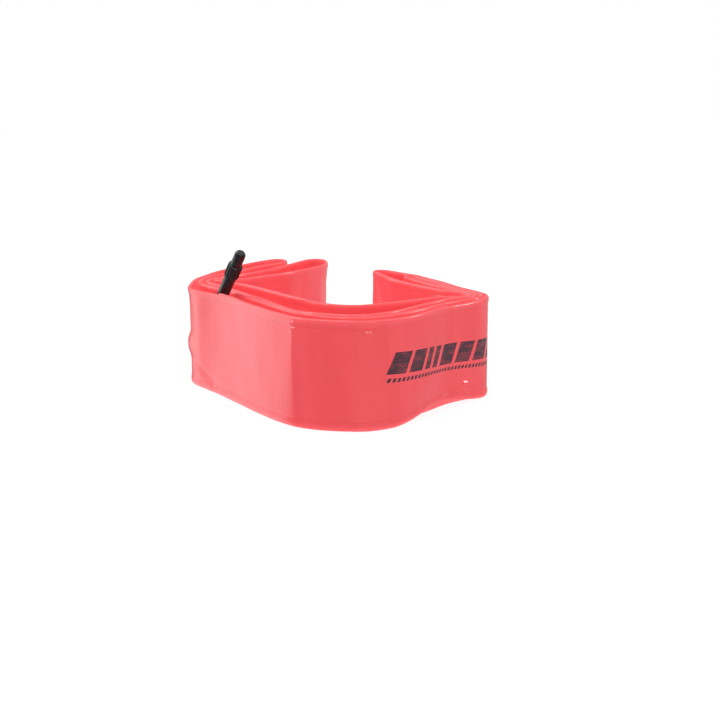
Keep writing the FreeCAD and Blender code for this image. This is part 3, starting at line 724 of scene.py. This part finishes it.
def outward(verts, faces):
    """Faces turned so that the closed surface has a positive volume."""
    v = np.asarray(verts, float)
    vol = 0.0
    for f in faces:
        for k in range(1, len(f) - 1):
            vol += np.dot(v[f[0]], np.cross(v[f[k]], v[f[k + 1]]))
    return faces if vol > 0 else [tuple(reversed(f)) for f in faces]


def oval_sheet(centre_s, centre_z, length, height, hole, near, far, rounds=14, spokes=72):
    """Oval sheet that follows the film between near(rho) and far(rho) (points of the layer), with an optional round hole."""
    verts, faces = [], []
    rho = np.linspace(hole, 1.0, rounds)
    th = np.linspace(0, 2 * math.pi, spokes, endpoint=False)
    rr, tt = np.meshgrid(rho, th, indexing="ij")
    hole_r = hole * min(length, height) / 2
    a = np.where(hole > 0, hole_r + (length / 2 - hole_r) * (rr - hole) / (1 - hole), rr * length / 2)
    b = np.where(hole > 0, hole_r + (height / 2 - hole_r) * (rr - hole) / (1 - hole), rr * height / 2)
    ss, zz = centre_s + a * np.cos(tt), centre_z + b * np.sin(tt)
    for layer in (near, far):
        verts += layer(ss, zz, rr).reshape(-1, 3).tolist()
    n = rounds * spokes
    for i in range(rounds - 1):
        for j in range(spokes):
            k = (j + 1) % spokes
            q = (i * spokes + j, (i + 1) * spokes + j, (i + 1) * spokes + k, i * spokes + k)
            faces.append(q)
            faces.append(tuple(n + v for v in reversed(q)))
    for j in range(spokes):
        k = (j + 1) % spokes
        o = (rounds - 1) * spokes
        faces.append((o + j, n + o + j, n + o + k, o + k))
        faces.append((j, k, n + k, n + j))
    return verts, outward(verts, faces)


E1 = np.cross(AXIS, [0, 0, 1.0])
E1 /= np.linalg.norm(E1)
E2 = np.cross(AXIS, E1)


def lathe(profile, spokes=64):
    """Closed body turned about the valve axis from (radius, height) points in mm; returns metres."""
    verts, faces = [], []
    rings = []
    for r, t in profile:
        if r < 1e-6:
            rings.append([len(verts)])
            verts.append((VALVE + AXIS * t) * MM)
        else:
            rings.append(list(range(len(verts), len(verts) + spokes)))
            for k in range(spokes):
                w = 2 * math.pi * k / spokes
                verts.append((VALVE + AXIS * t + (E1 * math.cos(w) + E2 * math.sin(w)) * r) * MM)
    pairs = list(zip(rings, rings[1:] + rings[:1]))
    for a, b in pairs:
        for k in range(spokes):
            j = (k + 1) % spokes
            q = []
            for v in (a[k % len(a)], a[j % len(a)], b[j % len(b)], b[k % len(b)]):
                if v not in q:
                    q.append(v)
            if len(q) >= 3:
                faces.append(tuple(q))
    return verts, outward(verts, faces)


def join(*parts):
    verts, faces = [], []
    for v, f in parts:
        o = len(verts)
        verts += [tuple(x) for x in v]
        faces += [tuple(o + i for i in q) for q in f]
    return verts, faces


def thread_ridge(radius, crest, pitch, low, high, spokes=64):
    """One helical ridge round the valve axis, closed at both ends."""
    turns = (high - low) / pitch
    n = int(turns * spokes)
    verts, faces = [], []
    for i in range(n + 1):
        w = 2 * math.pi * i / spokes
        t = low + pitch * i / spokes
        fade = min(1.0, i / (spokes * 0.4), (n - i) / (spokes * 0.4))
        u = E1 * math.cos(w) + E2 * math.sin(w)
        for dr, dt in ((-0.03, -0.34 * pitch), (crest * fade, -0.10 * pitch), (crest * fade, 0.10 * pitch), (-0.03, 0.34 * pitch)):
            verts.append((VALVE + AXIS * (t + dt) + u * (radius + dr)) * MM)
        if i:
            a, b = 4 * (i - 1), 4 * i
            for k in range(4):
                j = (k + 1) % 4
                faces.append((a + k, b + k, b + j, a + j))
    faces += [(0, 1, 2, 3), (4 * n + 3, 4 * n + 2, 4 * n + 1, 4 * n)]
    return verts, outward(verts, faces)


BLACK, BRASS, RUBBER = black_plastic(), brass(), seal_rubber()
FOOT = moulded_film("foot_film", rgb(236, 58, 66), rgb(222, 44, 54))
PATCH = moulded_film("patch_film", rgb(250, 120, 122), rgb(242, 98, 102))
for node, mat in (("valve_stem", BLACK), ("valve_cap", BLACK), ("core_body", BRASS), ("core_pin", BRASS), ("lock_nut", BRASS),
                  ("core_gasket", RUBBER), ("pin_seal", RUBBER)):
    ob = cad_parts[node]
    ob.data.materials.clear()
    ob.data.materials.append(mat)

# the foot: an oval pad between the two films, a neck through the inner film, and a collar round the stem
pad_v, pad_f = oval_sheet(FOOT_S, VALVE[2], 21.0, 15.0, 0.0,
                          lambda s, z, r: film_point(s, z, 0.22 + 0.10 * r**4), lambda s, z, r: film_point(s, z, 0.84 - 0.10 * r**4))
neck_v, neck_f = lathe([(2.9, -0.6), (3.3, 0.2), (3.75, 1.2), (3.8, 2.2), (3.62, 3.6), (3.6, 5.1), (3.5, 5.32), (3.3, 5.4), (3.04, 5.4), (2.84, 5.3), (2.84, 1.0), (1.2, 1.0), (1.2, -0.6)])
foot = solid("foot_moulding", *join((pad_v, pad_f), (neck_v, neck_f)), FOOT, "red_film")
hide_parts("valve_foot")
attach(foot, "root")


def off_inner(height):
    """A layer at height mm outside the inner face of the film."""
    def f(s, z, r):
        inner = film_point(s, z, 0.0)
        away = inner - film_point(s, z, 1.0)
        away /= np.linalg.norm(away, axis=-1, keepdims=True)
        return inner + away * (height * (1 - 0.75 * np.clip((r - 0.90) / 0.10, 0, 1) ** 2))[..., None] * MM
    return f


patch = solid("oval_patch", *oval_sheet(FOOT_S, VALVE[2], 26.0, 18.0, 0.22, off_inner(0.01), off_inner(0.24)), PATCH, "patch_film")
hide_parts("valve_patch")
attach(patch, "root")

thread = solid("stem_thread", *thread_ridge(2.6, 0.055, 1.06, 51.6, 56.4), BLACK, "black_plastic")
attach(thread, "root")

# ---------------------------------------------------------------- floor, light and camera
def studio_level(n, x, y, z=None):
    """Brightness of the studio seen in the film's gloss, by direction round the object: 0 towards the camera, + to the right."""
    az = n.math("ARCTAN2", x, n.math("MULTIPLY", y, -1.0))
    left = n.math("SUBTRACT", 1.0, n.step(az, -1.92, -1.70))
    behind_glow_mask = n.math("SUBTRACT", 1.0, n.step(az, -2.62, -2.34))       # the left wall fades towards the back
    left = n.math("SUBTRACT", left, n.math("MULTIPLY", behind_glow_mask, 0.92))
    left = n.math("ADD", left, n.math("MULTIPLY", n.step(az, 2.2, 3.10), 0.08))
    if z is not None:                                                # and towards the foot of the room
        left = n.math("MULTIPLY", left, n.math("SUBTRACT", 1.0, n.math("MULTIPLY", n.step(n.math("MULTIPLY", z, -1.0), 0.38, 0.70), 0.8)))
    right = n.step(az, -0.05, 0.20)
    far_right = n.step(az, 1.3, 2.3)
    out = n.math("ADD", 0.24, n.math("MULTIPLY", left, 1.08))
    out = n.math("ADD", out, n.math("MULTIPLY", right, 0.20))
    return n.math("SUBTRACT", out, n.math("MULTIPLY", far_right, 0.12))


floor_mesh = bpy.data.meshes.new("floor")
floor_mesh.from_pydata([(-6, -6, 0), (6, -6, 0), (6, 6, 0), (-6, 6, 0)], [], [(0, 1, 2, 3)])
floor = bpy.data.objects.new("floor", floor_mesh)
floor.location = (0, 0, -0.0001)
bpy.context.scene.collection.objects.link(floor)
m, n, p = new_material("pale_floor")
pos = n.add("ShaderNodeNewGeometry").outputs["Position"]
sep = n.add("ShaderNodeSeparateXYZ", in_0=pos)
tone = n.mix(n.noise(pos, 3.0, 2.0), rgb(247, 247, 247), rgb(250, 250, 250))
n.put(p.inputs["Base Color"], n.mix(n.noise(pos, 3.0, 2.0), rgb(112, 112, 112), rgb(118, 118, 118)))
n.put(p.inputs["Emission Color"], tone)
p.inputs["Emission Strength"].default_value = 0.93
p.inputs["Roughness"].default_value = 0.75
p.inputs["Specular IOR Level"].default_value = 0.1
glow = n.add("ShaderNodeEmission")
ray = n.add("ShaderNodeSeparateXYZ", in_0=n.add("ShaderNodeNewGeometry").outputs["Incoming"])
n.put(glow.inputs[1], studio_level(n, n.math("MULTIPLY", ray.outputs[0], -1.0), n.math("MULTIPLY", ray.outputs[1], -1.0), n.math("MULTIPLY", ray.outputs[2], -1.0)))
mixer = n.add("ShaderNodeMixShader")
n.put(mixer.inputs[0], n.add("ShaderNodeLightPath").outputs["Is Glossy Ray"])
m.node_tree.links.new(p.outputs[0], mixer.inputs[1])
m.node_tree.links.new(glow.outputs[0], mixer.inputs[2])
m.node_tree.links.new(mixer.outputs[0], [k for k in m.node_tree.nodes if k.type == "OUTPUT_MATERIAL"][0].inputs[0])
floor_mesh.materials.append(m)

world = bpy.data.worlds.new("studio")
bpy.context.scene.world = world
world.use_nodes = True
world.node_tree.nodes.clear()
n = Nodes(world.node_tree)
wo = n.add("ShaderNodeOutputWorld")
bg = n.add("ShaderNodeBackground")
world.node_tree.links.new(bg.outputs[0], wo.inputs[0])
dirs = n.add("ShaderNodeTexCoord").outputs["Generated"]
sep = n.add("ShaderNodeSeparateXYZ", in_0=dirs)
level = studio_level(n, sep.outputs[0], sep.outputs[1])
top = n.step(sep.outputs[2], 0.35, 0.85)
level = n.math("ADD", n.math("MULTIPLY", level, n.math("SUBTRACT", 1.0, top)), n.math("MULTIPLY", top, 1.05))
cam_ray = n.add("ShaderNodeLightPath").outputs["Is Camera Ray"]
level = n.math("ADD", n.math("MULTIPLY", level, n.math("SUBTRACT", 1.0, cam_ray)), cam_ray)
bg.inputs[0].default_value = (1, 1, 1, 1)
n.put(bg.inputs[1], level)


def area(name, loc_, target, size, energy):
    light = bpy.data.lights.new(name, "AREA")
    light.shape = "RECTANGLE"
    light.size, light.size_y = size
    light.energy = energy
    ob = bpy.data.objects.new(name, light)
    ob.location = loc_
    ob.rotation_euler = (Vector(target) - Vector(loc_)).to_track_quat("-Z", "Y").to_euler()
    bpy.context.scene.collection.objects.link(ob)
    return ob


area("top_softbox", (-0.35, 0.0, 0.95), (0, 0, 0.02), (0.9, 0.8), 2.3)
area("front_strip", (-0.30, -0.75, 0.85), (0, 0, 0.02), (0.07, 0.20), 0.60)
area("right_spot", (1.14, 0.39, 0.46), (0.06, -0.06, 0.02), (0.15, 0.15), 1.5)
area("front_right_spot", (0.60, -0.86, 0.78), (0.01, -0.10, 0.04), (0.11, 0.11), 0.6)
area("left_spot", (-0.95, 0.01, 0.79), (-0.02, -0.11, 0.045), (0.15, 0.15), 1.3)

cam_data = bpy.data.cameras.new("camera")
cam_data.sensor_width = 36.0
cam_data.lens = 1400.0 * 36.0 / 720.0
cam = bpy.data.objects.new("camera", cam_data)
cam.location = (0.01327, -0.727425, 0.145)
cam.rotation_euler = (math.radians(90) - math.atan(260.0 / 1400.0), 0, 0)
cam_data.clip_start = 0.01
cam_data.clip_end = 50
bpy.context.scene.collection.objects.link(cam)
bpy.context.scene.camera = cam

scene = bpy.context.scene
scene.view_settings.view_transform = "Standard"
scene.view_settings.look = "None"
scene.view_settings.exposure = 0.0
